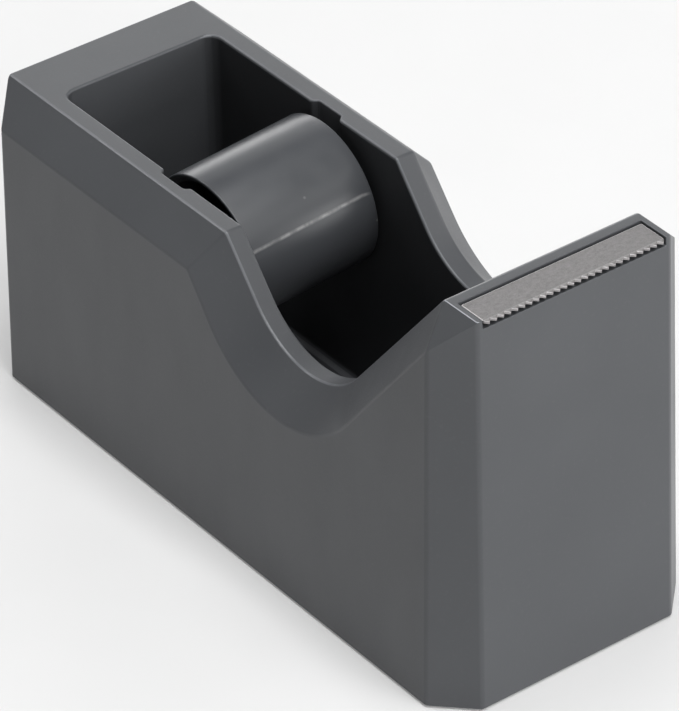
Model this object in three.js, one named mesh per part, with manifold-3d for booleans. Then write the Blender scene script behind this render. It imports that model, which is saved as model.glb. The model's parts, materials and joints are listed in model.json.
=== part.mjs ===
// Desk tape dispenser with a bevelled moulded housing, a lift-out hub and a serrated blade.
// Millimetres, +Z up, +X towards the blade. The origin is on the ground, under the middle of
// the housing's footprint. Inside the "dispenser" group, z = 0 is the housing's bottom edge.

import * as THREE from 'three';
import { ConvexGeometry } from 'three/addons/geometries/ConvexGeometry.js';
import { mergeVertices } from 'three/addons/utils/BufferGeometryUtils.js';
import Module from 'manifold-3d';

const wasm = await Module();
wasm.setup();

// ---- driving dimensions ----------------------------------------------------------------

const DEG = Math.PI / 180;

// housing, outside
const LENGTH = 120;
const BASE_HALF_WIDTH = 24.25;
const TOP_HALF_WIDTH = 17.8;
const TOWER_HEIGHT = 68.7;
const REAR_HEIGHT = 52.5;
const TOWER_REAR_X = 51.2;
const SHOULDER_X = -2.05;
const REAR_SLOPE = 50.7 * DEG;
const TOWER_SLOPE = 50.1 * DEG;
const VALLEY_RADIUS = 16;
const BEVEL_FALL = 1.03;
const FRONT_FACE_HALF_WIDTH = 18.2;
const REAR_FACE_HALF_WIDTH = 19;
const FRONT_DRAFT = 0.0166;
const REAR_DRAFT = 0.001;
const SIDE_DRAFT = 0.0203;
const FACET_DRAFT = 0.0245;

// housing, inside
const WALL = 2.4;
const ROOF = 3.2;
const WELL_REAR_X = -49.6;
const WELL_FRONT_X = 30.6;
const WELL_HALF_WIDTH = 14.5;
const WELL_MIDDLE_Y = -0.15;
const WELL_FLOOR = 5;
const WELL_CORNER_RADIUS = 2.3;
const WELL_SKIN = 1.7;
const CLEARANCE = 0.3;

// hub and axle: the axle line slopes up, and a little back, towards +Y
const HUB_X = -18.15;
const HUB_MIDDLE_Y = 1.85;
const HUB_MIDDLE_Z = 38.7;
const AXLE_TILT = 3.3 * DEG;
const AXLE_YAW = 1.7 * DEG;
const DRUM_RADIUS = 12.65;
const DRUM_LENGTH = 23;
const DRUM_WALL = 1.5;
const AXLE_RADIUS = 1.3;
const BORE_RADIUS = 1.6;
const BOSS_RADIUS = 3.5;
const WEB_THICKNESS = 1.6;
const CAP_THICKNESS = 1.6;

// grooves that carry the axle ends
const GROOVE_X = -19.3;
const GROOVE_STAGGER = 0.62;
const GROOVE_DEPTH = 1;
const GROOVE_FLOOR_WIDTH = 5.6;
const GROOVE_MOUTH_WIDTH = 7.8;
const GROOVE_PAD = 1.2;

// blade and its recess
const BLADE_REAR_X = 53.55;
const BLADE_TIP_X = 59.3;
const BLADE_HALF_WIDTH = 16.6;
const BLADE_THICKNESS = 0.5;
const BLADE_TOP = TOWER_HEIGHT - 0.2;
const TOOTH_COUNT = 26;
const TOOTH_DEPTH = 0.65;
const RECESS_DEPTH = 1.45;
const RECESS_HALF_WIDTH = 16.85;
const RECESS_REAR_X = 53.1;
const BOND_SETBACK = 1.3;
const BOND_THICKNESS = 0.6;

// underside
const GROUND_GAP = 0.4;
const PAD_THICKNESS = 1.3;
const PLATE_BOTTOM = 1;
const PLATE_THICKNESS = 1.8;
const COVER_SEAT = 3.2;
const BOSS_HEIGHT = 16;
const SCREW_BOSS_RADIUS = 3.8;
const FRONT_SCREW_X = 54.2;
const REAR_SCREW_X = -54.2;
const HOUSING_SCREW_Y = 13.6;
const BALLAST_SCREW_X = 41;
const BALLAST_SCREW_Y = 9;
const BALLAST_HALF_WIDTH = 16;
const BALLAST_REAR_X = 33;
const BALLAST_FRONT_X = 49;

const HOUSING_SCREW = { shaft: 1.4, head: 2.6, headHeight: 1.2, length: 12 };
const BALLAST_SCREW = { shaft: 1.9, head: 3.5, headHeight: 1.5, length: 14 };

// ---- solids ----------------------------------------------------------------------------

function toSolid(geometry) {
  const bare = geometry.index ? geometry.toNonIndexed() : geometry.clone();
  bare.deleteAttribute('normal');
  bare.deleteAttribute('uv');
  const merged = mergeVertices(bare, 1e-4);
  const corners = merged.index.array;
  const kept = [];
  for (let i = 0; i < corners.length; i += 3) {
    const [a, b, c] = [corners[i], corners[i + 1], corners[i + 2]];
    if (a !== b && b !== c && c !== a) kept.push(a, b, c);
  }
  const vertProperties = new Float32Array(merged.attributes.position.array);
  return new wasm.Manifold(new wasm.Mesh({ numProp: 3, vertProperties, triVerts: new Uint32Array(kept) }));
}

function toGeometry(solid) {
  const mesh = solid.getMesh();
  const geometry = new THREE.BufferGeometry();
  geometry.setAttribute('position', new THREE.BufferAttribute(new Float32Array(mesh.vertProperties), 3));
  geometry.setIndex(new THREE.BufferAttribute(new Uint32Array(mesh.triVerts), 1));
  geometry.computeVertexNormals();
  return geometry;
}

function block([x0, x1], [y0, y1], [z0, z1]) {
  const geometry = new THREE.BoxGeometry(x1 - x0, y1 - y0, z1 - z0);
  return geometry.translate((x0 + x1) / 2, (y0 + y1) / 2, (z0 + z1) / 2);
}

function post(radius, x, y, z0, z1, sides = 32) {
  const geometry = new THREE.CylinderGeometry(radius, radius, z1 - z0, sides);
  return geometry.rotateX(Math.PI / 2).translate(x, y, (z0 + z1) / 2);
}

// a flat outline in X and Y, raised from z0 to z1
function slab(shape, z0, z1, curveSegments = 8) {
  const geometry = new THREE.ExtrudeGeometry(shape, { depth: z1 - z0, bevelEnabled: false, curveSegments });
  return geometry.translate(0, 0, z0);
}

// an outline in X and Z, spread evenly over both sides of the middle plane
function spread(shape, halfWidth) {
  const geometry = new THREE.ExtrudeGeometry(shape, { depth: 2 * halfWidth, bevelEnabled: false });
  return geometry.rotateX(Math.PI / 2).translate(0, halfWidth, 0);
}

function outline(points) {
  return new THREE.Shape(points.map(([x, y]) => new THREE.Vector2(x, y)));
}

function ring(points, sides) {
  const closed = [...points, points[0]].map(([r, y]) => new THREE.Vector2(r, y));
  return new THREE.LatheGeometry(closed, sides);
}

// ---- housing ---------------------------------------------------------------------------

// the eight plan corners of the housing's walls at a height, moved inwards by inset
function planCorners(z, inset) {
  const front = LENGTH / 2 - FRONT_DRAFT * z - inset;
  const rear = -LENGTH / 2 + REAR_DRAFT * z + inset;
  const side = BASE_HALF_WIDTH - SIDE_DRAFT * z - inset;
  const facetShift = FACET_DRAFT * z + inset * Math.SQRT2;
  const frontSum = LENGTH / 2 + FRONT_FACE_HALF_WIDTH - facetShift;
  const rearSum = LENGTH / 2 + REAR_FACE_HALF_WIDTH - facetShift;
  const half = [
    [front, frontSum - front],
    [frontSum - side, side],
    [side - rearSum, side],
    [rear, rearSum + rear],
  ];
  return [...half, ...half.map(([x, y]) => [x, -y]).reverse()];
}

function wallBody(z0, z1, inset) {
  const corners = [z0, z1].flatMap((z) => planCorners(z, inset).map(([x, y]) => new THREE.Vector3(x, y, z)));
  return new ConvexGeometry(corners);
}

// the side view: rear deck, slope down, round valley, slope up to the tower's top
function profileShape() {
  const rearNormal = [Math.sin(REAR_SLOPE), Math.cos(REAR_SLOPE)];
  const towerNormal = [-Math.sin(TOWER_SLOPE), Math.cos(TOWER_SLOPE)];
  const a = rearNormal[0] * SHOULDER_X + rearNormal[1] * REAR_HEIGHT + VALLEY_RADIUS;
  const b = towerNormal[0] * TOWER_REAR_X + towerNormal[1] * TOWER_HEIGHT + VALLEY_RADIUS;
  const det = rearNormal[0] * towerNormal[1] - rearNormal[1] * towerNormal[0];
  const centreX = (a * towerNormal[1] - b * rearNormal[1]) / det;
  const centreZ = (rearNormal[0] * b - towerNormal[0] * a) / det;
  const beyond = LENGTH;
  const shape = new THREE.Shape();
  shape.moveTo(-beyond, -beyond);
  shape.lineTo(beyond, -beyond);
  shape.lineTo(beyond, TOWER_HEIGHT);
  shape.lineTo(TOWER_REAR_X, TOWER_HEIGHT);
  shape.absarc(centreX, centreZ, VALLEY_RADIUS, TOWER_SLOPE - Math.PI / 2, -REAR_SLOPE - Math.PI / 2, true);
  shape.lineTo(SHOULDER_X, REAR_HEIGHT);
  shape.lineTo(-beyond, REAR_HEIGHT);
  return shape;
}

// the side view as a body whose top edges are bevelled down towards both sides
function profileBody(inset) {
  const bevelWidth = 9;
  const flatHalfWidth = TOP_HALF_WIDTH - inset * Math.tan(22 * DEG);
  const geometry = new THREE.ExtrudeGeometry(profileShape(), {
    depth: 2 * flatHalfWidth,
    bevelEnabled: true,
    bevelSegments: 1,
    bevelThickness: bevelWidth,
    bevelSize: bevelWidth * BEVEL_FALL,
    bevelOffset: -bevelWidth * BEVEL_FALL - inset,
    curveSegments: 16,
  });
  return geometry.rotateX(Math.PI / 2).translate(0, flatHalfWidth, 0);
}

function wellBody(grow, floor) {
  const [x0, x1] = [WELL_REAR_X - grow, WELL_FRONT_X + grow];
  const half = WELL_HALF_WIDTH + grow;
  const radius = WELL_CORNER_RADIUS + grow;
  const shape = new THREE.Shape();
  shape.absarc(x1 - radius, half - radius, radius, 0, Math.PI / 2);
  shape.absarc(x0 + radius, half - radius, radius, Math.PI / 2, Math.PI);
  shape.absarc(x0 + radius, radius - half, radius, Math.PI, 1.5 * Math.PI);
  shape.absarc(x1 - radius, radius - half, radius, 1.5 * Math.PI, 2 * Math.PI);
  return slab(shape, floor, LENGTH, 3).translate(0, WELL_MIDDLE_Y, 0);
}

function axleHeight(y) {
  return HUB_MIDDLE_Z + (y - HUB_MIDDLE_Y) * Math.tan(AXLE_TILT);
}

// the inner face of the well's wall on a side
function wallFace(side) {
  return WELL_MIDDLE_Y + side * WELL_HALF_WIDTH;
}

function grooveMiddle(side) {
  return GROOVE_X - side * GROOVE_STAGGER;
}

// a groove with splayed sides in a well wall, open at the top, where an axle end rests
function axleGroove(side) {
  const middle = grooveMiddle(side);
  const mouth = wallFace(side) - side * CLEARANCE;
  const bottom = wallFace(side) + side * GROOVE_DEPTH;
  const shape = outline([
    [middle - GROOVE_MOUTH_WIDTH / 2, mouth],
    [middle - GROOVE_FLOOR_WIDTH / 2, bottom],
    [middle + GROOVE_FLOOR_WIDTH / 2, bottom],
    [middle + GROOVE_MOUTH_WIDTH / 2, mouth],
  ]);
  return slab(shape, axleHeight(wallFace(side)) - AXLE_RADIUS - CLEARANCE, LENGTH);
}

function groovePad(side) {
  const inner = wallFace(side) + side * GROOVE_DEPTH;
  const outer = wallFace(side) + side * (WELL_SKIN + GROOVE_PAD);
  const reach = GROOVE_MOUTH_WIDTH / 2 + WELL_SKIN;
  return block([grooveMiddle(side) - reach, grooveMiddle(side) + reach],
    [Math.min(inner, outer), Math.max(inner, outer)], [COVER_SEAT, REAR_HEIGHT - ROOF]);
}

const housingScrews = [
  ['base_screw_front_left', FRONT_SCREW_X, HOUSING_SCREW_Y],
  ['base_screw_front_right', FRONT_SCREW_X, -HOUSING_SCREW_Y],
  ['base_screw_rear_left', REAR_SCREW_X, HOUSING_SCREW_Y],
  ['base_screw_rear_right', REAR_SCREW_X, -HOUSING_SCREW_Y],
];

const ballastScrews = [
  ['ballast_screw_left', BALLAST_SCREW_X, BALLAST_SCREW_Y],
  ['ballast_screw_right', BALLAST_SCREW_X, -BALLAST_SCREW_Y],
];

function housingGeometry() {
  const outside = toSolid(wallBody(0, TOWER_HEIGHT + 1, 0)).intersect(toSolid(profileBody(0)));
  let hollow = toSolid(wallBody(-1, TOWER_HEIGHT, WALL)).intersect(toSolid(profileBody(ROOF)));
  hollow = hollow.subtract(toSolid(wellBody(WELL_SKIN, COVER_SEAT)));
  for (const side of [1, -1]) hollow = hollow.subtract(toSolid(groovePad(side)));
  for (const [, x, y] of housingScrews) {
    hollow = hollow.subtract(toSolid(post(SCREW_BOSS_RADIUS, x, y, COVER_SEAT, BOSS_HEIGHT)));
  }
  let body = outside.subtract(hollow).subtract(toSolid(wellBody(0, WELL_FLOOR)));
  for (const side of [1, -1]) body = body.subtract(toSolid(axleGroove(side)));
  for (const [, x, y] of housingScrews) {
    const pilot = post(HOUSING_SCREW.shaft + CLEARANCE, x, y, 0, HOUSING_SCREW.length + PLATE_BOTTOM + 1);
    body = body.subtract(toSolid(pilot));
  }
  const recess = block([RECESS_REAR_X, LENGTH], [-RECESS_HALF_WIDTH, RECESS_HALF_WIDTH],
    [TOWER_HEIGHT - RECESS_DEPTH, LENGTH]);
  return toGeometry(body.subtract(toSolid(recess)));
}

// ---- underside and ballast -------------------------------------------------------------

function screwGeometry({ shaft, head, headHeight, length }) {
  const profile = [[0, 0], [head, 0], [shaft, headHeight], [shaft, length - shaft], [0, length]];
  const points = profile.map(([r, y]) => new THREE.Vector2(r, y));
  return new THREE.LatheGeometry(points, 24).rotateX(Math.PI / 2);
}

function screwClearance({ shaft, head, headHeight }, x, y) {
  const profile = [
    [0, -1],
    [head + CLEARANCE, -1],
    [head + CLEARANCE, 0],
    [shaft + CLEARANCE, headHeight],
    [shaft + CLEARANCE, 2 * PLATE_THICKNESS],
    [0, 2 * PLATE_THICKNESS],
  ];
  const points = profile.map(([r, z]) => new THREE.Vector2(r, z));
  return new THREE.LatheGeometry(points, 24).rotateX(Math.PI / 2).translate(x, y, PLATE_BOTTOM);
}

function basePlateGeometry() {
  const shape = outline(planCorners(PLATE_BOTTOM, WALL + CLEARANCE));
  let plate = toSolid(slab(shape, PLATE_BOTTOM, PLATE_BOTTOM + PLATE_THICKNESS));
  for (const [, x, y] of housingScrews) plate = plate.subtract(toSolid(screwClearance(HOUSING_SCREW, x, y)));
  for (const [, x, y] of ballastScrews) plate = plate.subtract(toSolid(screwClearance(BALLAST_SCREW, x, y)));
  return toGeometry(plate);
}

function padGeometry() {
  const shape = outline(planCorners(0, WALL + 2 * CLEARANCE));
  return slab(shape, -GROUND_GAP, PAD_THICKNESS - GROUND_GAP);
}

function ballastGeometry() {
  const drop = (ROOF + 2 * CLEARANCE) / Math.cos(TOWER_SLOPE);
  const slopeHeight = (x) => TOWER_HEIGHT - drop - (TOWER_REAR_X - x) * Math.tan(TOWER_SLOPE);
  const crestX = BALLAST_FRONT_X - 3.5;
  const shape = outline([
    [BALLAST_REAR_X, COVER_SEAT],
    [BALLAST_FRONT_X, COVER_SEAT],
    [BALLAST_FRONT_X, slopeHeight(crestX)],
    [crestX, slopeHeight(crestX)],
    [BALLAST_REAR_X, slopeHeight(BALLAST_REAR_X)],
  ]);
  let ballast = toSolid(spread(shape, BALLAST_HALF_WIDTH));
  for (const [, x, y] of ballastScrews) {
    const hole = post(BALLAST_SCREW.shaft + CLEARANCE, x, y, 0, BALLAST_SCREW.length + PLATE_BOTTOM + 1);
    ballast = ballast.subtract(toSolid(hole));
  }
  return toGeometry(ballast);
}

// ---- blade -----------------------------------------------------------------------------

function bladeGeometry() {
  const pitch = (2 * BLADE_HALF_WIDTH) / TOOTH_COUNT;
  const points = [[BLADE_REAR_X, BLADE_HALF_WIDTH], [BLADE_REAR_X, -BLADE_HALF_WIDTH]];
  for (let tooth = 0; tooth < TOOTH_COUNT; tooth += 1) {
    const start = -BLADE_HALF_WIDTH + tooth * pitch;
    points.push([BLADE_TIP_X - TOOTH_DEPTH, start], [BLADE_TIP_X, start + pitch / 2]);
  }
  points.push([BLADE_TIP_X - TOOTH_DEPTH, BLADE_HALF_WIDTH]);
  return slab(outline(points), BLADE_TOP - BLADE_THICKNESS, BLADE_TOP);
}

function bladeBondGeometry() {
  const top = BLADE_TOP - BLADE_THICKNESS - 0.05;
  return block([BLADE_REAR_X, BLADE_TIP_X - TOOTH_DEPTH - BOND_SETBACK],
    [CLEARANCE - BLADE_HALF_WIDTH, BLADE_HALF_WIDTH - CLEARANCE], [top - BOND_THICKNESS, top]);
}

// ---- hub: its own Y axis is the axle line, with y = 0 in the middle of the drum ----------

function drumGeometry() {
  const end = DRUM_LENGTH / 2;
  const inner = DRUM_RADIUS - DRUM_WALL;
  const web = WEB_THICKNESS / 2;
  const bossEnd = end - CAP_THICKNESS - CLEARANCE;
  const edge = 0.4;
  return ring([
    [inner, -end], [DRUM_RADIUS - edge, -end], [DRUM_RADIUS, edge - end],
    [DRUM_RADIUS, end - edge], [DRUM_RADIUS - edge, end], [inner, end],
    [inner, web], [BOSS_RADIUS, web], [BOSS_RADIUS, bossEnd], [BORE_RADIUS, bossEnd],
    [BORE_RADIUS, -end], [BOSS_RADIUS, -end], [BOSS_RADIUS, -web], [inner, -web],
  ], 72);
}

function capGeometry() {
  const end = DRUM_LENGTH / 2;
  const rim = DRUM_RADIUS - DRUM_WALL - CLEARANCE;
  return ring([
    [BORE_RADIUS, end - CAP_THICKNESS], [rim, end - CAP_THICKNESS],
    [rim, end], [BORE_RADIUS, end],
  ], 48);
}

function axleGeometry() {
  const play = CLEARANCE + AXLE_RADIUS * (Math.sin(AXLE_TILT) + Math.sin(AXLE_YAW));
  const endAt = (side) => {
    const y = wallFace(side) + side * (GROOVE_DEPTH - play);
    return (y - HUB_MIDDLE_Y) / (Math.cos(AXLE_TILT) * Math.cos(AXLE_YAW));
  };
  const [low, high] = [endAt(-1), endAt(1)];
  const tip = 0.3;
  const profile = [
    [0, low], [AXLE_RADIUS - tip, low], [AXLE_RADIUS, low + tip],
    [AXLE_RADIUS, high - tip], [AXLE_RADIUS - tip, high], [0, high],
  ];
  return new THREE.LatheGeometry(profile.map(([r, y]) => new THREE.Vector2(r, y)), 32);
}

// ---- assembly --------------------------------------------------------------------------

function piece(name, geometry, color, roughness, metalness) {
  const mesh = new THREE.Mesh(geometry, new THREE.MeshStandardMaterial({ color, roughness, metalness }));
  mesh.name = name;
  return mesh;
}

const PLASTIC = 0x5b5c5f;
const STEEL = 0x96948f;

function screwPiece(name, size, x, y) {
  const screw = piece(name, screwGeometry(size), STEEL, 0.4, 1);
  screw.position.set(x, y, PLATE_BOTTOM);
  return screw;
}

const dispenser = new THREE.Group();
dispenser.position.z = GROUND_GAP;
dispenser.add(
  piece('housing', housingGeometry(), PLASTIC, 0.45, 0),
  piece('base_plate', basePlateGeometry(), 0x3a3b3d, 0.5, 1),
  piece('non_slip_pad', padGeometry(), 0x1d1d1f, 0.9, 0),
  piece('tower_ballast', ballastGeometry(), 0x4a4847, 0.7, 1),
  piece('blade', bladeGeometry(), STEEL, 0.4, 1),
  piece('blade_bond_pad', bladeBondGeometry(), 0x161617, 0.9, 0),
);
for (const [name, x, y] of housingScrews) dispenser.add(screwPiece(name, HOUSING_SCREW, x, y));
for (const [name, x, y] of ballastScrews) dispenser.add(screwPiece(name, BALLAST_SCREW, x, y));

const hub = new THREE.Group();
hub.position.set(HUB_X, HUB_MIDDLE_Y, HUB_MIDDLE_Z);
hub.rotation.set(AXLE_TILT, 0, AXLE_YAW);
hub.add(
  piece('hub_drum', drumGeometry(), PLASTIC, 0.25, 0),
  piece('hub_end_cap', capGeometry(), PLASTIC, 0.35, 0),
  piece('axle', axleGeometry(), PLASTIC, 0.4, 0),
);
dispenser.add(hub);

const assembly = new THREE.Group();
assembly.add(dispenser);

export default assembly;
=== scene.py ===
"""Looks of the desk tape dispenser: moulded housing, lift-out hub, serrated blade.

Metres, +Z up, +X towards the blade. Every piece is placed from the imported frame.
"""

import json
import math

import bmesh
import bpy
from mathutils import Matrix, Vector


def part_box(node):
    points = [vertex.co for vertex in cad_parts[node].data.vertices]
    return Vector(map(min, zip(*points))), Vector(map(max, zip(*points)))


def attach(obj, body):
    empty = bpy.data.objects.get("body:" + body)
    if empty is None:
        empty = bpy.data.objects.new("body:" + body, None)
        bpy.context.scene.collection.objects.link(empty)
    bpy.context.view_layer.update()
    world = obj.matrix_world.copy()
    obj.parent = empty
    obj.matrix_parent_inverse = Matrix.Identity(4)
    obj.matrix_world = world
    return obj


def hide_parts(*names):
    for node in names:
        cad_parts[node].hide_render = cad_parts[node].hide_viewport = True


MM = 0.001

# camera, around a point near the middle of the housing; lens and sensor in millimetres
CAMERA_AZIMUTH = 53.6489
CAMERA_ELEVATION = 35.0142
CAMERA_ROLL = -1.4619
CAMERA_DISTANCE = 819.192 * MM
CAMERA_LENS = 269.67
CAMERA_SENSOR = 36
CAMERA_NEAREST = 50 * MM
CAMERA_FARTHEST = 20
CAMERA_TARGET = Vector((3.0196, -0.9365, 25.6848)) * MM

# rounding of the housing's edges
CORNER_ROUND = 0.55 * MM
RIM_ROUND = 0.45 * MM
OUTLINE_ROUND = 0.32 * MM
TOWER_ROUND = 0.15 * MM
GROOVE_ROUND = 0.3 * MM
RECESS_ROUND = 0.12 * MM
FOOT_ROUND = 0.12 * MM
SHOULDER_CUT = 0.35 * MM
FLOOR_FILLET = 1.2 * MM
ROUND_SEGMENTS = 4
SHOULDER_SEGMENTS = 5
SMALL_SEGMENTS = 3

# where the housing's roundings, painted edge highlights and painted well shade apply, around the
# blade, the axle and the well
RECESS_BEHIND_BLADE = 0.8 * MM
RECESS_BESIDE_BLADE = 0.5 * MM
TOWER_BELOW_BLADE = 2 * MM
GROOVE_AHEAD = 5 * MM
GROOVE_BEHIND = 7 * MM
GROOVE_INWARD = 1.4 * MM
WELL_MARGIN = 0.6 * MM
SHOULDER_MARGIN = 0.3 * MM
STRONG_HIGHLIGHT_DEPTH = 0.25 * MM
FOOT_HEIGHT = 1 * MM
FLOOR_CLEAR = 2 * MM

# how far the faces with those painted highlights and painted shade face upwards, and towards +Y
OUTLINE_UP = 0.4
OUTLINE_SIDE = (-0.6, -0.1)
STRONG_HIGHLIGHT_SIDE = (-0.5, -0.2)
WALL_UP = 0.3

# cleaning and shading of meshes
WELD = 0.01 * MM
SHORT_EDGE = 0.45 * MM
FLAT_TURN = math.radians(0.5)
SHALLOW_TURN = math.radians(15)
SHARP_TURN = math.radians(32)
FLAT_FACE_WEIGHT = 80

# non-slip pad
PAD_EDGE = 0.3 * MM

# hub; the open end reaches past the frame's drum, and the seam stops short of the closed end
DRUM_EDGE = 0.2 * MM
DRUM_LIP = 0.5 * MM
DRUM_REACH = 0.6 * MM
CAP_EDGE = 0.2 * MM
CAP_DISH = 0.4 * MM
AXLE_EDGE = 0.35 * MM
LATHE_STEPS = 192
FILLET_STEPS = 5
FILLET_SHARE = 0.45
SEAM_ANGLE = 66.0
SEAM_HEIGHT = 0.03 * MM
SEAM_STOP = 1.9 * MM
SAME_DISTANCE = 0.02 * MM
SAME_RADIUS = 0.1 * MM
ON_AXIS = 1e-7

# blade; only edges that turn further than BLADE_TURN are rounded
TOOTH_COUNT = 26
TOOTH_DEPTH = 0.65 * MM
GROUND_LENGTH = 0.8 * MM
GROUND_DROP = 0.12 * MM
BLADE_TURN = math.radians(25)
BLADE_EDGE = 0.16 * MM
TOOTH_EDGE = 0.07 * MM

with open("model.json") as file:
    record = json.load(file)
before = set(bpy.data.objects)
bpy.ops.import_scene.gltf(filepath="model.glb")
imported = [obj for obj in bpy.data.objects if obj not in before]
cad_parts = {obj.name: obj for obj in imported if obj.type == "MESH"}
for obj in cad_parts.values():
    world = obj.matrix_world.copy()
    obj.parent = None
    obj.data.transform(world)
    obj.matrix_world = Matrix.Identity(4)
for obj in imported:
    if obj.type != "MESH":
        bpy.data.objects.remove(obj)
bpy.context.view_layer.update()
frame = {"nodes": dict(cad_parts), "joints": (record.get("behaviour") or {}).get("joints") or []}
nodes = frame["nodes"]
spin = next(j for j in frame["joints"] if j["name"] == "hub_spin")


# ---- shader helpers -----------------------------------------------------------------------


class Shader:
    """A material with a Principled shader and short ways to add nodes to it."""

    def __init__(self, name, **values):
        self.material = bpy.data.materials.new(name)
        self.material.use_nodes = True
        self.tree = self.material.node_tree
        self.surface = self.tree.nodes["Principled BSDF"]
        for socket, value in values.items():
            self.surface.inputs[socket.replace("_", " ")].default_value = value
        self.place = self.tree.nodes.new("ShaderNodeTexCoord").outputs["Object"]

    def link(self, source, target):
        self.tree.links.new(source, target)

    def stretched(self, scale):
        node = self.tree.nodes.new("ShaderNodeMapping")
        node.inputs["Scale"].default_value = scale
        self.link(self.place, node.inputs["Vector"])
        return node.outputs["Vector"]

    def noise(self, scale, detail, place=None, roughness=0.5):
        """Soft noise of so many waves in a metre."""
        node = self.tree.nodes.new("ShaderNodeTexNoise")
        node.inputs["Scale"].default_value = scale
        node.inputs["Detail"].default_value = detail
        node.inputs["Roughness"].default_value = roughness
        self.link(place or self.place, node.inputs["Vector"])
        return node.outputs["Fac"]

    def cells(self, scale):
        """Distance to the middle of the nearest of so many cells in a metre."""
        node = self.tree.nodes.new("ShaderNodeTexVoronoi")
        node.inputs["Scale"].default_value = scale
        self.link(self.place, node.inputs["Vector"])
        return node.outputs["Distance"]

    def spread(self, source, low, high, start=0.3, end=0.7):
        """The source from start to end made to run from low to high, and held beyond."""
        node = self.tree.nodes.new("ShaderNodeMapRange")
        node.inputs["From Min"].default_value = start
        node.inputs["From Max"].default_value = end
        node.inputs["To Min"].default_value = low
        node.inputs["To Max"].default_value = high
        self.link(source, node.inputs["Value"])
        return node.outputs["Result"]

    def combine(self, first, second, operation="ADD"):
        node = self.tree.nodes.new("ShaderNodeMath")
        node.operation = operation
        self.link(first, node.inputs[0])
        self.link(second, node.inputs[1])
        return node.outputs["Value"]

    def blend(self, factor, first, second):
        """Colour between two colours, each a tuple or another node's output."""
        node = self.tree.nodes.new("ShaderNodeMix")
        node.data_type = "RGBA"
        self.link(factor, node.inputs["Factor"])
        for socket, value in ((node.inputs[6], first), (node.inputs[7], second)):
            if isinstance(value, tuple):
                socket.default_value = (*value, 1)
            else:
                self.link(value, socket)
        return node.outputs[2]

    def attribute(self, name):
        node = self.tree.nodes.new("ShaderNodeAttribute")
        node.attribute_name = name
        return node.outputs["Fac"]

    def bump(self, height, distance, below=None):
        """A normal tilted by a height, on top of another such normal if given."""
        node = self.tree.nodes.new("ShaderNodeBump")
        node.inputs["Distance"].default_value = distance
        self.link(height, node.inputs["Height"])
        if below is not None:
            self.link(below, node.inputs["Normal"])
        return node.outputs["Normal"]

    def sideways(self):
        """How far the surface faces to either side: 1 on a side wall, 0 on an end wall."""
        split = self.tree.nodes.new("ShaderNodeSeparateXYZ")
        self.link(self.place.node.outputs["Normal"], split.inputs["Vector"])
        node = self.tree.nodes.new("ShaderNodeMath")
        node.operation = "ABSOLUTE"
        self.link(split.outputs["Y"], node.inputs[0])
        return node.outputs["Value"]

    def finished(self, **sockets):
        """The material, with these outputs joined to the surface's sockets."""
        for socket, source in sockets.items():
            self.link(source, self.surface.inputs[socket.replace("_", " ")])
        return self.material


def grey(level, warmth=0.0):
    """A grey with blue lowered by the warmth and red raised by half of it."""
    return (level * (1 + warmth / 2), level, level * (1 - warmth))


# ---- materials ----------------------------------------------------------------------------


def moulded_plastic(name, low, high, rough, side_shade_level=None):
    """Satin grey plastic with a fine moulded grain; if a side shade level is given, side walls
    are darkened to it as painted shade.
    """
    shader = Shader(name, IOR=1.42)
    cloud = shader.noise(45, 3)
    flow = shader.noise(160, 2, shader.stretched((1, 1, 0.35)))
    grain = shader.noise(4200, 2)
    body = shader.blend(shader.spread(cloud, 0, 1), grey(low, -0.08), grey(high, -0.08))
    fleck = shader.spread(shader.noise(1500, 1), 0, 0.35, start=0.62, end=0.8)
    body = shader.blend(fleck, body, grey(high * 1.2, -0.05))
    # painted shade: walls facing ±Y are darkened towards the side shade level
    if side_shade_level:
        side_shade = shader.spread(shader.sideways(), 0, 1, start=0, end=1)
        body = shader.blend(side_shade, body, grey(side_shade_level, -0.08))
    slow = shader.spread(flow, rough, rough + 0.06)
    sheen = shader.combine(slow, shader.spread(grain, -0.03, 0.03))
    peel = shader.bump(shader.noise(520, 2), 0.006 * MM)
    texture = shader.bump(grain, 0.004 * MM, below=peel)
    return shader.finished(Base_Color=body, Roughness=sheen, Normal=texture)


def hub_plastic():
    """Glossier plastic, unevenly polished, with a few specks of dust and a painted highlight: a
    lighter line along the raised parting line.
    """
    shader = Shader("hub_plastic_look")
    cloud = shader.noise(60, 2)
    body = shader.blend(shader.spread(cloud, 0, 1), grey(0.054, -0.10), grey(0.060, -0.10))
    dust = shader.spread(shader.cells(330), 1, 0, start=0.05, end=0.11)
    sparse = shader.spread(shader.noise(95, 0), 0, 0.7, start=0.60, end=0.68)
    specks = shader.combine(dust, sparse, "MULTIPLY")
    body = shader.blend(specks, body, grey(0.22))
    # painted highlight: a lighter line along the raised parting line, broken into dashes
    broken = shader.spread(shader.noise(600, 2), 0.35, 1, start=0.38, end=0.6)
    seam_highlight = shader.combine(shader.attribute("seam_highlight"), broken, "MULTIPLY")
    body = shader.blend(seam_highlight, body, grey(0.26))
    polish = shader.spread(shader.noise(260, 2), 0.28, 0.33)
    rough = shader.combine(polish, shader.spread(specks, 0, 0.4, start=0, end=1))
    waves = shader.bump(shader.noise(150, 2), 0.010 * MM)
    return shader.finished(Base_Color=body, Roughness=rough, Normal=waves)


def axle_plastic():
    """Darker, stiffer plastic with a drawn finish along the axle."""
    shader = Shader("axle_plastic_look")
    drawn = shader.noise(2600, 3, shader.stretched((1, 0.03, 1)))
    body = shader.blend(shader.spread(drawn, 0, 1), grey(0.045, -0.02), grey(0.058, -0.02))
    texture = shader.bump(drawn, 0.003 * MM)
    rough = shader.spread(drawn, 0.25, 0.38)
    return shader.finished(Base_Color=body, Roughness=rough, Normal=texture)


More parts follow.
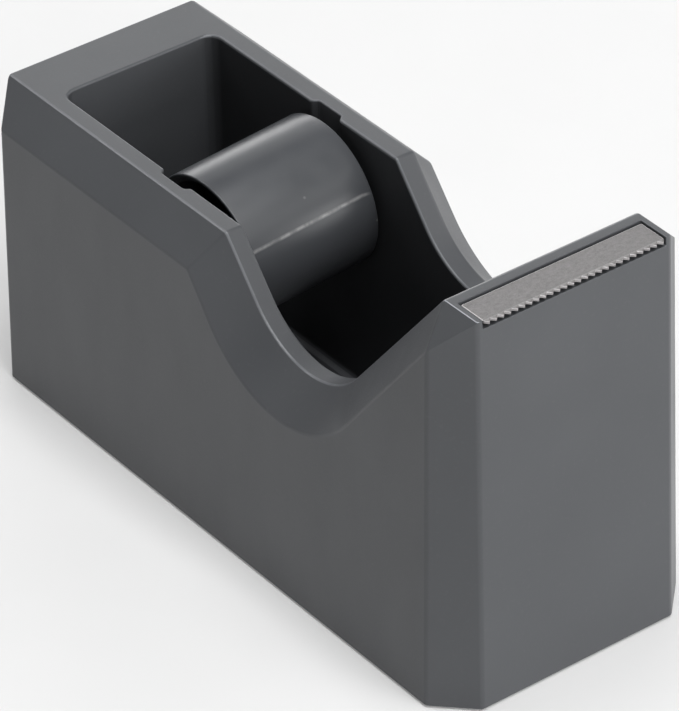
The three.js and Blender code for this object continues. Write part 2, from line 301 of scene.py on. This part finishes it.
def blade_steel(name, low, high, rough, grain_depth, metallic=1.0):
    """Rolled steel strip: a fine speckle drawn out along the strip."""
    shader = Shader(name, Metallic=metallic)
    rolled = shader.noise(1900, 4, shader.stretched((1, 0.5, 1)), 0.7)
    speckle = shader.noise(5200, 2)
    both = shader.combine(shader.spread(rolled, 0, 0.6), shader.spread(speckle, 0, 0.4))
    redder = 1.03
    body = shader.blend(both, (low * redder, low, low), (high * redder, high, high))
    texture = shader.bump(both, grain_depth)
    gloss = shader.spread(both, rough - 0.05, rough + 0.05, start=0, end=1)
    return shader.finished(Base_Color=body, Roughness=gloss, Normal=texture)


def painted_steel():
    """Dark powder coat on the base plate."""
    shader = Shader("plate_paint_look")
    peel = shader.noise(900, 3)
    body = shader.blend(shader.spread(peel, 0, 1), grey(0.030), grey(0.038))
    texture = shader.bump(peel, 0.02 * MM)
    rough = shader.spread(peel, 0.45, 0.6)
    return shader.finished(Base_Color=body, Roughness=rough, Normal=texture)


def plated_steel():
    """Bright zinc plate on the screws."""
    shader = Shader("screw_plate_look", Metallic=1.0)
    bloom = shader.noise(700, 4)
    body = shader.blend(shader.spread(bloom, 0, 1), grey(0.46, 0.01), grey(0.60, 0.03))
    texture = shader.bump(bloom, 0.004 * MM)
    rough = shader.spread(bloom, 0.25, 0.42)
    return shader.finished(Base_Color=body, Roughness=rough, Normal=texture)


def cast_iron():
    """Rough cast surface of the hidden weight."""
    shader = Shader("ballast_iron_look", Metallic=1.0)
    cast = shader.noise(1100, 5, roughness=0.7)
    rusty = shader.spread(shader.noise(130, 3), 0, 1, start=0.55, end=0.7)
    rust = (0.12, 0.06, 0.035)
    body = shader.blend(shader.spread(cast, 0, 1), grey(0.10, 0.02), grey(0.17, 0.03))
    body = shader.blend(rusty, body, rust)
    texture = shader.bump(cast, 0.08 * MM)
    rough = shader.spread(cast, 0.6, 0.85)
    return shader.finished(Base_Color=body, Roughness=rough, Normal=texture)


def pad_rubber():
    """Soft matt rubber with a pebbled face."""
    shader = Shader("pad_rubber_look")
    pebble = shader.cells(1500)
    body = shader.blend(shader.spread(shader.noise(300, 3), 0, 1), grey(0.014), grey(0.022))
    texture = shader.bump(pebble, 0.05 * MM)
    rough = shader.spread(pebble, 0.95, 0.75)
    return shader.finished(Base_Color=body, Roughness=rough, Normal=texture)


def bond_foam():
    """Black closed-cell foam tape under the blade."""
    shader = Shader("bond_foam_look")
    pores = shader.cells(2600)
    body = shader.blend(shader.spread(pores, 0, 1, start=0.1, end=0.6), grey(0.006), grey(0.014))
    texture = shader.bump(pores, 0.05 * MM)
    rough = shader.spread(pores, 0.98, 0.85)
    return shader.finished(Base_Color=body, Roughness=rough, Normal=texture)


LOOKS = {
    "moulded_plastic": moulded_plastic("moulded_plastic_look", low=0.064, high=0.070, rough=0.36),
    # painted highlight: lighter copies of the moulded plastic for edges facing the -Y side, the
    # lightest beside the blade
    "edge_highlight_plastic": moulded_plastic("edge_highlight_plastic_look", low=0.105, high=0.125, rough=0.30),
    "strong_edge_highlight_plastic": moulded_plastic("strong_edge_highlight_plastic_look", low=0.27, high=0.36, rough=0.30),
    # painted shade: a darker copy for the well's walls, darkest on walls facing ±Y
    "well_painted_shade": moulded_plastic(
        "well_painted_shade_look", low=0.062, high=0.068, rough=0.40, side_shade_level=0.034),
    "hub_plastic": hub_plastic(),
    "axle_plastic": axle_plastic(),
    "blade_steel": blade_steel(
        "blade_steel_look", low=0.18, high=0.31, rough=0.42, grain_depth=0.009 * MM),
    "ground_steel": blade_steel(
        "ground_steel_look", low=0.30, high=0.40, rough=0.42, grain_depth=0.003 * MM),
    # painted highlight: a light, partly metallic copy for the blade's rear and side edges
    "steel_edge_highlight": blade_steel(
        "steel_edge_highlight_look", low=0.60, high=0.75, rough=0.45, grain_depth=0.003 * MM, metallic=0.35),
    "plate_steel": painted_steel(),
    "screw_steel": plated_steel(),
    "ballast_iron": cast_iron(),
    "pad_rubber": pad_rubber(),
    "bond_foam": bond_foam(),
}


# ---- mesh helpers -------------------------------------------------------------------------


def add_piece(bm, name, body, slot, replaced, looks=None):
    """Makes a mesh object of the bmesh, in place of a frame node, riding on a body."""
    mesh = bpy.data.meshes.new(name)
    bm.to_mesh(mesh)
    bm.free()
    for look in looks or [slot]:
        mesh.materials.append(LOOKS[look])
    piece = bpy.data.objects.new(name, mesh)
    bpy.context.scene.collection.objects.link(piece)
    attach(piece, body)
    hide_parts(replaced)
    return piece


def settle(piece):
    """Replaces a piece's mesh with what its modifiers make of it."""
    evaluated = piece.evaluated_get(bpy.context.evaluated_depsgraph_get())
    mesh = bpy.data.meshes.new_from_object(evaluated)
    piece.modifiers.clear()
    old = piece.data
    piece.data = mesh
    bpy.data.meshes.remove(old)
    mesh.name = piece.name


def clean_copy(node):
    """The node's mesh with its triangles joined back into flat faces."""
    bm = bmesh.new()
    bm.from_mesh(nodes[node].data)
    bmesh.ops.remove_doubles(bm, verts=bm.verts, dist=WELD)
    bmesh.ops.dissolve_limit(bm, angle_limit=FLAT_TURN, verts=bm.verts, edges=bm.edges)
    return bm


def shade(bm):
    """Smooth faces, with the edges that turn further than SHARP_TURN left sharp."""
    for face in bm.faces:
        face.smooth = True
    for edge in bm.edges:
        edge.smooth = len(edge.link_faces) == 2 and edge.calc_face_angle() < SHARP_TURN


def round_edges(piece, widest, segments, edge_look=-1):
    """Rounds the edges by their bevel weights, then shades flat faces flat.

    The new faces take the piece's look of that number, or that of the faces beside them.
    """
    bevel = piece.modifiers.new("round", "BEVEL")
    bevel.limit_method = "WEIGHT"
    bevel.material = edge_look
    bevel.width = widest
    bevel.segments = segments
    bevel.use_clamp_overlap = False
    bevel.miter_outer = "MITER_ARC"
    settle(piece)
    bm = bmesh.new()
    bm.from_mesh(piece.data)
    shade(bm)
    bm.to_mesh(piece.data)
    bm.free()
    normals = piece.modifiers.new("normals", "WEIGHTED_NORMAL")
    normals.keep_sharp = True
    normals.weight = FLAT_FACE_WEIGHT
    settle(piece)


def weigh_edges(bm, radius_of, widest):
    """Stores each edge's rounding as a share of the widest one."""
    layer = bm.edges.layers.float.new("bevel_weight_edge")
    for edge in bm.edges:
        if len(edge.link_faces) == 2:
            edge[layer] = radius_of(edge) / widest


# ---- housing ------------------------------------------------------------------------------


def faces_in_sight(bm, foot):
    """The faces that join the highest one without going round the bottom rim."""
    top = max(bm.faces, key=lambda f: f.calc_center_median().z)
    seen = {top}
    queue = [top]
    while queue:
        face = queue.pop()
        for edge in face.edges:
            for other in edge.link_faces:
                at_foot = other.normal.z < -0.99 and other.calc_center_median().z < foot
                if other not in seen and not at_foot:
                    seen.add(other)
                    queue.append(other)
    return seen


def round_shoulder(bm):
    """Rounds the edge across the rims and bevels where the rear deck starts to slope down."""
    deck = max((f for f in bm.faces if f.normal.z > 0.999 and f.calc_center_median().x < 0),
               key=lambda f: f.calc_center_median().z)
    height = deck.calc_center_median().z
    end = max(v.co.x for v in deck.verts)

    def crosses(edge):
        flat, slope = sorted(edge.link_faces, key=lambda f: -f.normal.z)
        return flat.normal.x < 0.1 < slope.normal.x and slope.normal.z > 0.2

    across = [e for e in bm.edges if len(e.link_faces) == 2 and crosses(e)
              and abs(max(v.co.x for v in e.verts) - end) < SHOULDER_MARGIN
              and max(v.co.z for v in e.verts) > height - SHOULDER_MARGIN]
    bmesh.ops.bevel(bm, geom=across, offset=SHOULDER_CUT, offset_type="OFFSET",
                    segments=SHOULDER_SEGMENTS, profile=0.5, affect="EDGES", clamp_overlap=False)


# housing looks: plain moulded, two lighter ones as painted edge highlights, and a darker one as
# painted shade in the well
HOUSING_LOOKS = ("moulded_plastic", "edge_highlight_plastic", "strong_edge_highlight_plastic", "well_painted_shade")
MOULDED, EDGE_HIGHLIGHT, STRONG_HIGHLIGHT, WALL_SHADE = range(len(HOUSING_LOOKS))


def painted_edge_look(middle, facing, strong_highlight_above, strong_highlight_before):
    """Painted highlight: a lighter look along the outline on the -Y side, lighter still beside
    the blade, moulded elsewhere.
    """
    if facing.z <= OUTLINE_UP or not OUTLINE_SIDE[0] < facing.y < OUTLINE_SIDE[1]:
        return MOULDED
    at_blade = middle.z > strong_highlight_above and middle.y < strong_highlight_before
    if at_blade and STRONG_HIGHLIGHT_SIDE[0] < facing.y < STRONG_HIGHLIGHT_SIDE[1]:
        return STRONG_HIGHLIGHT
    return EDGE_HIGHLIGHT


def housing_shell():
    low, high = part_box("housing")
    blade_low, blade_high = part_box("blade")
    bm = clean_copy("housing")
    seen = faces_in_sight(bm, low.z + FOOT_HEIGHT)
    short = [e for e in bm.edges if e.calc_length() < SHORT_EDGE
             and all(f in seen for f in e.link_faces)]
    bmesh.ops.collapse(bm, edges=short, uvs=False)
    round_shoulder(bm)
    seen = faces_in_sight(bm, low.z + FOOT_HEIGHT)
    well_half = max(abs(v.co.y) for v in nodes["axle"].data.vertices)
    recess_rear = blade_low.x - RECESS_BEHIND_BLADE
    groove_front = spin["pos_m"][0] + GROOVE_AHEAD
    groove_rear = spin["pos_m"][0] - GROOVE_BEHIND
    drum_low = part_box("hub_drum")[0].z
    deck_height = max(v.co.z for v in bm.verts if v.co.x < 0)

    def radius_of(edge):
        faces = edge.link_faces
        middle = (edge.verts[0].co + edge.verts[1].co) / 2
        known = [f in seen for f in faces]
        if not any(known) or edge.calc_face_angle() < SHALLOW_TURN:
            return 0
        if not all(known):
            return FOOT_ROUND
        upright = all(abs(f.normal.z) < 0.1 for f in faces)
        inside = abs(middle.y) < well_half + WELL_MARGIN and middle.x < recess_rear
        if inside and upright and edge.calc_face_angle_signed() > 0:
            return GROOVE_ROUND if middle.z > drum_low else 0
        at_groove = groove_rear < middle.x < groove_front
        if inside and at_groove and abs(middle.y) > well_half - GROOVE_INWARD:
            return GROOVE_ROUND
        if middle.z > blade_low.z - TOWER_BELOW_BLADE and middle.x > recess_rear:
            in_recess = abs(middle.y) < blade_high.y + RECESS_BESIDE_BLADE
            return RECESS_ROUND if in_recess else TOWER_ROUND
        if inside and middle.z < drum_low:
            return FLOOR_FILLET
        if inside:
            return RIM_ROUND
        return CORNER_ROUND if upright else OUTLINE_ROUND

    weigh_edges(bm, radius_of, FLOOR_FILLET)
    piece = add_piece(bm, "housing_shell", "housing", "moulded_plastic", "housing",
                      HOUSING_LOOKS)
    round_edges(piece, FLOOR_FILLET, ROUND_SEGMENTS, EDGE_HIGHLIGHT)
    # painted highlight: rounded edges along the -Y outline keep the lighter looks
    for face in piece.data.polygons:
        middle, facing = face.center, face.normal
        if face.material_index == EDGE_HIGHLIGHT:
            face.material_index = painted_edge_look(
                middle, facing, strong_highlight_above=high.z - STRONG_HIGHLIGHT_DEPTH, strong_highlight_before=blade_low.y)
        # painted shade: the well's walls take the darker look
        in_well = abs(middle.y) < well_half and middle.x < recess_rear
        at_wall_height = low.z + FLOOR_CLEAR < middle.z < deck_height - RIM_ROUND
        if in_well and at_wall_height and facing.z < WALL_UP:
            face.material_index = WALL_SHADE


# ---- underside ----------------------------------------------------------------------------


def rubber_pad():
    bm = clean_copy("non_slip_pad")
    weigh_edges(bm, lambda edge: PAD_EDGE, PAD_EDGE)
    piece = add_piece(bm, "rubber_pad", "housing", "pad_rubber", "non_slip_pad")
    round_edges(piece, PAD_EDGE, SMALL_SEGMENTS)


# ---- blade --------------------------------------------------------------------------------


BLADE_LOOKS = ("blade_steel", "ground_steel", "steel_edge_highlight")
GROUND = BLADE_LOOKS.index("ground_steel")
STEEL_EDGE_HIGHLIGHT = BLADE_LOOKS.index("steel_edge_highlight")


def cutting_blade():
    """A strip whose teeth are ground down to their tips on the upper side."""
    low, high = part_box("blade")
    pitch = (high.y - low.y) / TOOTH_COUNT
    root = high.x - TOOTH_DEPTH
    start = high.x - GROUND_LENGTH
    bm = bmesh.new()

    def height(x):
        return high.z - GROUND_DROP * max(0, (x - start) / GROUND_LENGTH)

    def column(x, y):
        return [bm.verts.new((x, y, height(x))), bm.verts.new((x, y, low.z))]

    rear = [column(low.x, low.y), column(low.x, high.y)]
    crest = [column(start, low.y + i * pitch / 2) for i in range(2 * TOOTH_COUNT + 1)]
    tips = [column(high.x if i % 2 else root, low.y + i * pitch / 2)
            for i in range(2 * TOOTH_COUNT + 1)]
    bm.faces.new([rear[1][0], rear[0][0], *[c[0] for c in crest]])
    bm.faces.new([*[c[1] for c in reversed(crest)], rear[0][1], rear[1][1]])
    for i in range(2 * TOOTH_COUNT):
        ground = bm.faces.new([crest[i][0], tips[i][0], tips[i + 1][0], crest[i + 1][0]])
        ground.material_index = GROUND
        front = bm.faces.new([tips[i][0], tips[i][1], tips[i + 1][1], tips[i + 1][0]])
        front.material_index = GROUND
        bm.faces.new([crest[i + 1][1], tips[i + 1][1], tips[i][1], crest[i][1]])
    outline = [(rear[1], rear[0]), (rear[0], crest[0]), (crest[0], tips[0]),
               (tips[-1], crest[-1]), (crest[-1], rear[1])]
    for one, two in outline:
        bm.faces.new([one[0], one[1], two[1], two[0]])
    bmesh.ops.recalc_face_normals(bm, faces=bm.faces)

    def radius_of(edge):
        if edge.calc_face_angle() < BLADE_TURN:
            return 0
        return TOOTH_EDGE if max(v.co.x for v in edge.verts) > start + WELD else BLADE_EDGE

    weigh_edges(bm, radius_of, BLADE_EDGE)
    piece = add_piece(bm, "cutting_blade", "housing", "blade_steel", "blade", BLADE_LOOKS)
    round_edges(piece, BLADE_EDGE, SMALL_SEGMENTS, GROUND)
    # painted highlight: the blade's rounded rear and side edges take the light look
    for face in piece.data.polygons:
        if face.center.x < start - TOOTH_EDGE and face.material_index == GROUND:
            face.material_index = STEEL_EDGE_HIGHLIGHT


# ---- hub ----------------------------------------------------------------------------------


def along_axle():
    """The place and direction of the axle line as a matrix whose Y axis runs along it."""
    turn = Vector((0, 1, 0)).rotation_difference(Vector(spin["axis"]))
    return Matrix.Translation(Vector(spin["pos_m"])) @ turn.to_matrix().to_4x4()


def rings_of(node):
    """The node's points as distances along the axle line and radii about it, both rounded."""
    back = along_axle().inverted()
    found = set()
    for vertex in nodes[node].data.vertices:
        p = back @ vertex.co
        found.add((round(p.y / MM, 2) * MM, round(math.hypot(p.x, p.z) / MM, 1) * MM))
    return found


def filleted(points, radius):
    """A closed profile with every corner rounded, where its sides are long enough."""
    result = []
    for i, here in enumerate(points):
        before = Vector(points[i - 1]) - Vector(here)
        after = Vector(points[(i + 1) % len(points)]) - Vector(here)
        if here[0] < ON_AXIS:
            result.append(here)
            continue
        turn = before.angle(after)
        room = min(before.length, after.length) * FILLET_SHARE
        reach = min(radius / math.tan(turn / 2), room)
        bend = reach * math.tan(turn / 2)
        inward = (before.normalized() + after.normalized()).normalized()
        middle = Vector(here) + inward * (bend / math.sin(turn / 2))
        first = Vector(here) + before.normalized() * reach - middle
        last = Vector(here) + after.normalized() * reach - middle
        for k in range(FILLET_STEPS + 1):
            spoke = first.lerp(last, k / FILLET_STEPS).normalized() * bend
            result.append(tuple(middle + spoke))
    return result


def lathe(profile, steps):
    """A closed (radius, distance) profile turned about the axle line."""
    bm = bmesh.new()
    rows = []
    for radius, distance in profile:
        if radius < ON_AXIS:
            rows.append([bm.verts.new((0, distance, 0))] * steps)
            continue
        turns = [2 * math.pi * k / steps for k in range(steps)]
        rows.append([bm.verts.new((radius * math.sin(t), distance, radius * math.cos(t)))
                     for t in turns])
    for i, row in enumerate(rows):
        other = rows[(i + 1) % len(rows)]
        for k in range(steps):
            corners = [row[k], row[(k + 1) % steps], other[(k + 1) % steps], other[k]]
            corners = list(dict.fromkeys(corners))
            if len(corners) > 2:
                bm.faces.new(corners)
    bmesh.ops.recalc_face_normals(bm, faces=bm.faces)
    bm.transform(along_axle())
    shade(bm)
    return bm


def raise_seam(bm, radius, end):
    """Marks the mould's parting line along the drum for its painted highlight, and slightly
    raises it.
    """
    seam_highlight = bm.verts.layers.float.new("seam_highlight")
    back = along_axle().inverted()
    half_step = math.pi / LATHE_STEPS
    for vertex in bm.verts:
        p = back @ vertex.co
        turn = math.atan2(p.x, p.z) - math.radians(SEAM_ANGLE)
        outer = math.hypot(p.x, p.z) > radius - WELD
        if outer and abs(turn) < half_step and p.y < end - SEAM_STOP + WELD:
            vertex[seam_highlight] = 1
            away = Vector((p.x, 0, p.z)).normalized() * SEAM_HEIGHT
            vertex.co = along_axle() @ (p + away)


def drum():
    rings = rings_of("hub_drum")
    radius = max(r for _, r in rings)
    end = max(s for s, _ in rings)
    open_end = end + DRUM_REACH
    bore, boss, inner = sorted({r for s, r in rings if abs(s + end) < SAME_DISTANCE})[:3]
    web = min(s for s, r in rings if s > 0 and abs(r - inner) < SAME_RADIUS)
    boss_end = max(s for s, r in rings if abs(r - bore) < SAME_RADIUS)
    profile = [
        (inner, 2 * DRUM_LIP - open_end), (radius - DRUM_LIP, -open_end), (radius, -open_end),
        (radius, end), (inner, end), (inner, web), (boss, web), (boss, boss_end),
        (bore, boss_end), (bore, -end), (boss, -end), (boss, -web), (inner, -web),
    ]
    rounded = filleted(profile, DRUM_EDGE)
    seam_end = next(i for i, p in enumerate(rounded) if p[0] > radius - WELD and p[1] > 0)
    rounded.insert(seam_end, (radius, end - SEAM_STOP))
    bm = lathe(rounded, LATHE_STEPS)
    raise_seam(bm, radius, end)
    add_piece(bm, "tape_drum", "hub", "hub_plastic", "hub_drum")


def end_cap():
    rings = rings_of("hub_end_cap")
    rim = max(r for _, r in rings)
    bore = min(r for _, r in rings)
    near = min(s for s, _ in rings)
    far = max(s for s, _ in rings)
    sunk = far - CAP_DISH
    rim_inside, dish_outside = rim * 0.84, rim * 0.8
    dish_inside, boss = bore * 1.9, bore * 1.6
    profile = [
        (bore, near), (rim, near), (rim, far), (rim_inside, far),
        (dish_outside, sunk), (dish_inside, sunk), (boss, far), (bore, far),
    ]
    bm = lathe(filleted(profile, CAP_EDGE), LATHE_STEPS // 2)
    add_piece(bm, "drum_cap", "hub", "hub_plastic", "hub_end_cap")


def axle():
    rings = rings_of("axle")
    radius = max(r for _, r in rings)
    near = min(s for s, _ in rings)
    far = max(s for s, _ in rings)
    profile = [(0, near), (radius, near), (radius, far), (0, far)]
    bm = lathe(filleted(profile, AXLE_EDGE), LATHE_STEPS // 3)
    add_piece(bm, "axle_pin", "axle", "axle_plastic", "axle")


# ---- build --------------------------------------------------------------------------------

housing_shell()
rubber_pad()
cutting_blade()
drum()
end_cap()
axle()

# frame nodes that keep their shape, and their finishes
KEPT = {
    "base_plate": "plate_steel",
    "tower_ballast": "ballast_iron",
    "blade_bond_pad": "bond_foam",
    "base_screw_front_left": "screw_steel",
    "base_screw_front_right": "screw_steel",
    "base_screw_rear_left": "screw_steel",
    "base_screw_rear_right": "screw_steel",
    "ballast_screw_left": "screw_steel",
    "ballast_screw_right": "screw_steel",
}
for node_name, slot_name in KEPT.items():
    for material_slot in nodes[node_name].material_slots:
        material_slot.material = LOOKS[slot_name]


# ---- stage --------------------------------------------------------------------------------


LIGHT_DISTANCE = 1.6
HORIZON_BRIGHTNESS = 0.06
HORIZON_HEIGHT = 0.4
FLOOR_GLOW = 0.19
FLOOR_RADIUS = 4.0

# name, azimuth from +X and elevation in degrees, size in metres, brightness
LIGHTS = (
    ("top", 90, 90, (0.8, 0.6), 10.2),
    ("front_high", 0, 62, (0.8, 0.6), 8.4),
    ("front_middle", 0, 35, (1.0, 0.6), 2.5),
    ("front_low", 0, 10, (1.0, 0.5), 5.2),
    ("front_left_low", 36, 10, (1.0, 0.5), 4.4),
    ("front_left", 45, 35, (1.0, 0.6), 1.3),
    ("left_low", 72, 10, (1.0, 0.5), 3.0),
    ("rear_left", 135, 35, (1.0, 0.6), 1.05),
    ("rear_low", 148, 7, (1.0, 0.9), 3.6),
    ("rear_edge", 187, 47, (0.35, 0.35), 11.0),
    ("rear_right", 225, 35, (1.0, 0.6), 0.5),
    ("rear_right_low", 216, 10, (1.0, 0.5), 0.35),
    ("right_low", 288, 10, (1.0, 0.5), 0.9),
)


def floor():
    """A round pale floor that glows a little."""
    bm = bmesh.new()
    bmesh.ops.create_circle(bm, cap_ends=True, radius=FLOOR_RADIUS, segments=96)
    mesh = bpy.data.meshes.new("floor")
    bm.to_mesh(mesh)
    bm.free()
    shader = Shader("floor_look")
    paper = shader.noise(30, 2)
    colour = shader.blend(shader.spread(paper, 0, 1), grey(0.50), grey(0.515))
    shader.surface.inputs["Emission Color"].default_value = (1, 1, 1, 1)
    shader.surface.inputs["Emission Strength"].default_value = FLOOR_GLOW
    rough = shader.spread(paper, 0.9, 1)
    mesh.materials.append(shader.finished(Base_Color=colour, Roughness=rough))
    plane = bpy.data.objects.new("floor", mesh)
    bpy.context.scene.collection.objects.link(plane)


def softbox(name, azimuth, elevation, size, brightness):
    """A rectangular light facing the housing, with its first side level."""
    turn, rise = math.radians(azimuth), math.radians(elevation)
    back = Vector((math.cos(turn) * math.cos(rise),
                   math.sin(turn) * math.cos(rise), math.sin(rise)))
    side = Vector((-math.sin(turn), math.cos(turn), 0))
    data = bpy.data.lights.new(name, "AREA")
    data.shape = "RECTANGLE"
    data.size, data.size_y = size
    data.energy = brightness * math.pi * size[0] * size[1]
    light = bpy.data.objects.new(name, data)
    rows = Matrix((side, back.cross(side), back)).transposed()
    place = CAMERA_TARGET + back * LIGHT_DISTANCE
    light.matrix_world = Matrix.Translation(place) @ rows.to_4x4()
    light.visible_camera = False
    bpy.context.scene.collection.objects.link(light)


def surroundings():
    """A dark room, a little lighter towards the horizon."""
    world = bpy.data.worlds.new("surroundings")
    world.use_nodes = True
    tree = world.node_tree
    place = tree.nodes.new("ShaderNodeTexCoord").outputs["Generated"]
    split = tree.nodes.new("ShaderNodeSeparateXYZ")
    tree.links.new(place, split.inputs["Vector"])
    ramp = tree.nodes.new("ShaderNodeMapRange")
    ramp.inputs["From Max"].default_value = HORIZON_HEIGHT
    ramp.inputs["To Min"].default_value = HORIZON_BRIGHTNESS
    ramp.inputs["To Max"].default_value = 0.0
    tree.links.new(split.outputs["Z"], ramp.inputs["Value"])
    tree.links.new(ramp.outputs["Result"], tree.nodes["Background"].inputs["Strength"])
    bpy.context.scene.world = world


def camera():
    """The camera, looking at its target from the front right and above."""
    azimuth, elevation = math.radians(CAMERA_AZIMUTH), math.radians(CAMERA_ELEVATION)
    roll = math.radians(CAMERA_ROLL)
    back = Vector((math.sin(azimuth) * math.cos(elevation),
                   -math.cos(azimuth) * math.cos(elevation), math.sin(elevation)))
    right = Vector((math.cos(azimuth), math.sin(azimuth), 0))
    up = back.cross(right)
    tilted = right * math.cos(roll) + up * math.sin(roll)
    upright = up * math.cos(roll) - right * math.sin(roll)
    data = bpy.data.cameras.new("camera")
    data.lens = CAMERA_LENS
    data.sensor_width = CAMERA_SENSOR
    data.clip_start = CAMERA_NEAREST
    data.clip_end = CAMERA_FARTHEST
    view = bpy.data.objects.new("camera", data)
    rows = Matrix((tilted, upright, back)).transposed()
    view.matrix_world = Matrix.Translation(CAMERA_TARGET + back * CAMERA_DISTANCE) @ rows.to_4x4()
    bpy.context.scene.collection.objects.link(view)
    bpy.context.scene.camera = view


floor()
surroundings()
for light in LIGHTS:
    softbox(*light)
camera()
bpy.context.scene.view_settings.view_transform = "Standard"
